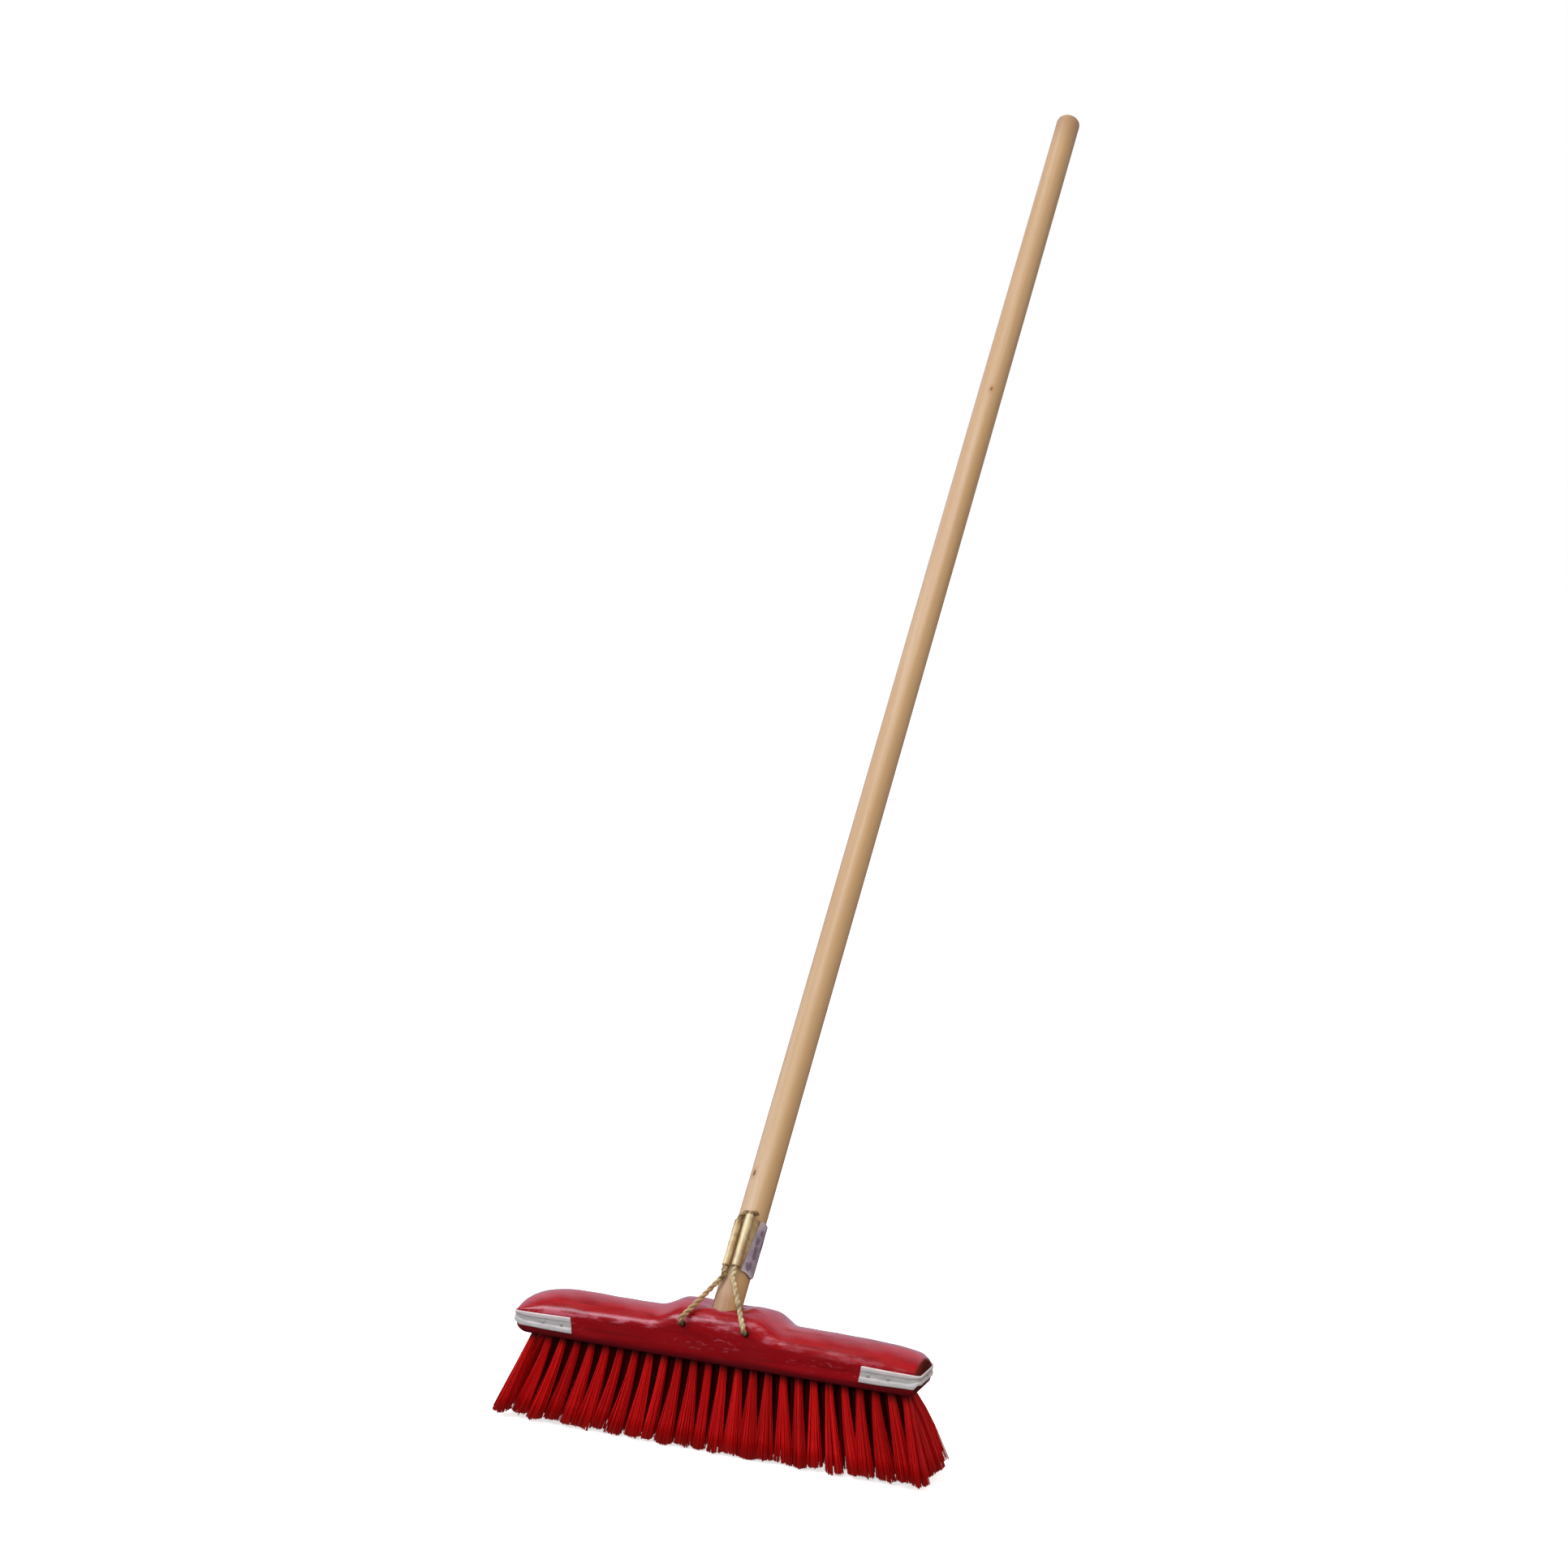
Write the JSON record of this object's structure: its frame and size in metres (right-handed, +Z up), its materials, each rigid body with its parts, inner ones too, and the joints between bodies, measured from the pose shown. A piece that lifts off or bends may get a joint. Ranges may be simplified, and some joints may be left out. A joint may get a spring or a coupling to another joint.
{
  "type": "push broom",
  "caption": "Wide push broom with a lacquered saddle block, metal end guards, rows of flaring bristle tufts, and a long leaning wooden handle held by a wire stay and clip.",
  "frame": {"origin": "floor level under the middle of the block, at the tip of the middle tuft of the middle bristle row", "axes": "+X along the block to the user's right when facing the stay side, -Y is the stay side, the handle leans back towards +Y, +Z up"},
  "size_m": [0.44, 1.0139, 1.3738],
  "materials": {
    "red_lacquer": "glossy red lacquer over wood, scuffed along the edges",
    "handle_wood": "smooth sanded pale wood",
    "guard_steel": "galvanised sheet",
    "nail_steel": "plain steel nail",
    "yellow_zinc": "yellow passivated zinc plate",
    "yellow_zinc_wire": "yellow passivated zinc wire",
    "label_paper": "blank lilac-grey paper label with faint smudges",
    "red_bristle": "red synthetic fibre"
  },
  "bodies": {
    "head": {"broom_block": "red_lacquer", "handle": "handle_wood", "end_guard_left": "guard_steel", "end_guard_right": "guard_steel", "guard_nail_left_front_inner": "nail_steel", "guard_nail_left_front_outer": "nail_steel", "guard_nail_left_back_inner": "nail_steel", "guard_nail_left_back_outer": "nail_steel", "guard_nail_left_end": "nail_steel", "guard_nail_right_front_inner": "nail_steel", "guard_nail_right_front_outer": "nail_steel", "guard_nail_right_back_inner": "nail_steel", "guard_nail_right_back_outer": "nail_steel", "guard_nail_right_end": "nail_steel", "stay_clip": "yellow_zinc", "clip_label": "label_paper", "stay_wire_left": "yellow_zinc_wire", "stay_wire_right": "yellow_zinc_wire"},
    "bristle_row_1": {"bristle_row_1": "red_bristle"},
    "bristle_row_2": {"bristle_row_2": "red_bristle"},
    "bristle_row_3": {"bristle_row_3": "red_bristle"},
    "bristle_row_4": {"bristle_row_4": "red_bristle"},
    "bristle_row_5": {"bristle_row_5": "red_bristle"}
  },
  "joints": [
    {"name": "row_1_flex", "type": "hinge", "parent": "head", "child": "bristle_row_1", "pos_m": [0, -0.018, 0.0776], "axis": [1, 0, 0], "range_deg": [-15, 15], "stiffness_Nm_per_rad": 0.6},
    {"name": "row_2_flex", "type": "hinge", "parent": "head", "child": "bristle_row_2", "pos_m": [0, -0.009, 0.0776], "axis": [1, 0, 0], "range_deg": [-15, 15], "stiffness_Nm_per_rad": 0.6},
    {"name": "row_3_flex", "type": "hinge", "parent": "head", "child": "bristle_row_3", "pos_m": [0, 0, 0.0776], "axis": [1, 0, 0], "range_deg": [-15, 15], "stiffness_Nm_per_rad": 0.6},
    {"name": "row_4_flex", "type": "hinge", "parent": "head", "child": "bristle_row_4", "pos_m": [0, 0.009, 0.0776], "axis": [1, 0, 0], "range_deg": [-15, 15], "stiffness_Nm_per_rad": 0.6},
    {"name": "row_5_flex", "type": "hinge", "parent": "head", "child": "bristle_row_5", "pos_m": [0, 0.018, 0.0776], "axis": [1, 0, 0], "range_deg": [-15, 15], "stiffness_Nm_per_rad": 0.6}
  ],
  "couplings": [
    {"joint": "row_1_flex", "follows": "row_3_flex", "ratio": 1},
    {"joint": "row_2_flex", "follows": "row_3_flex", "ratio": 1},
    {"joint": "row_4_flex", "follows": "row_3_flex", "ratio": 1},
    {"joint": "row_5_flex", "follows": "row_3_flex", "ratio": 1}
  ]
}
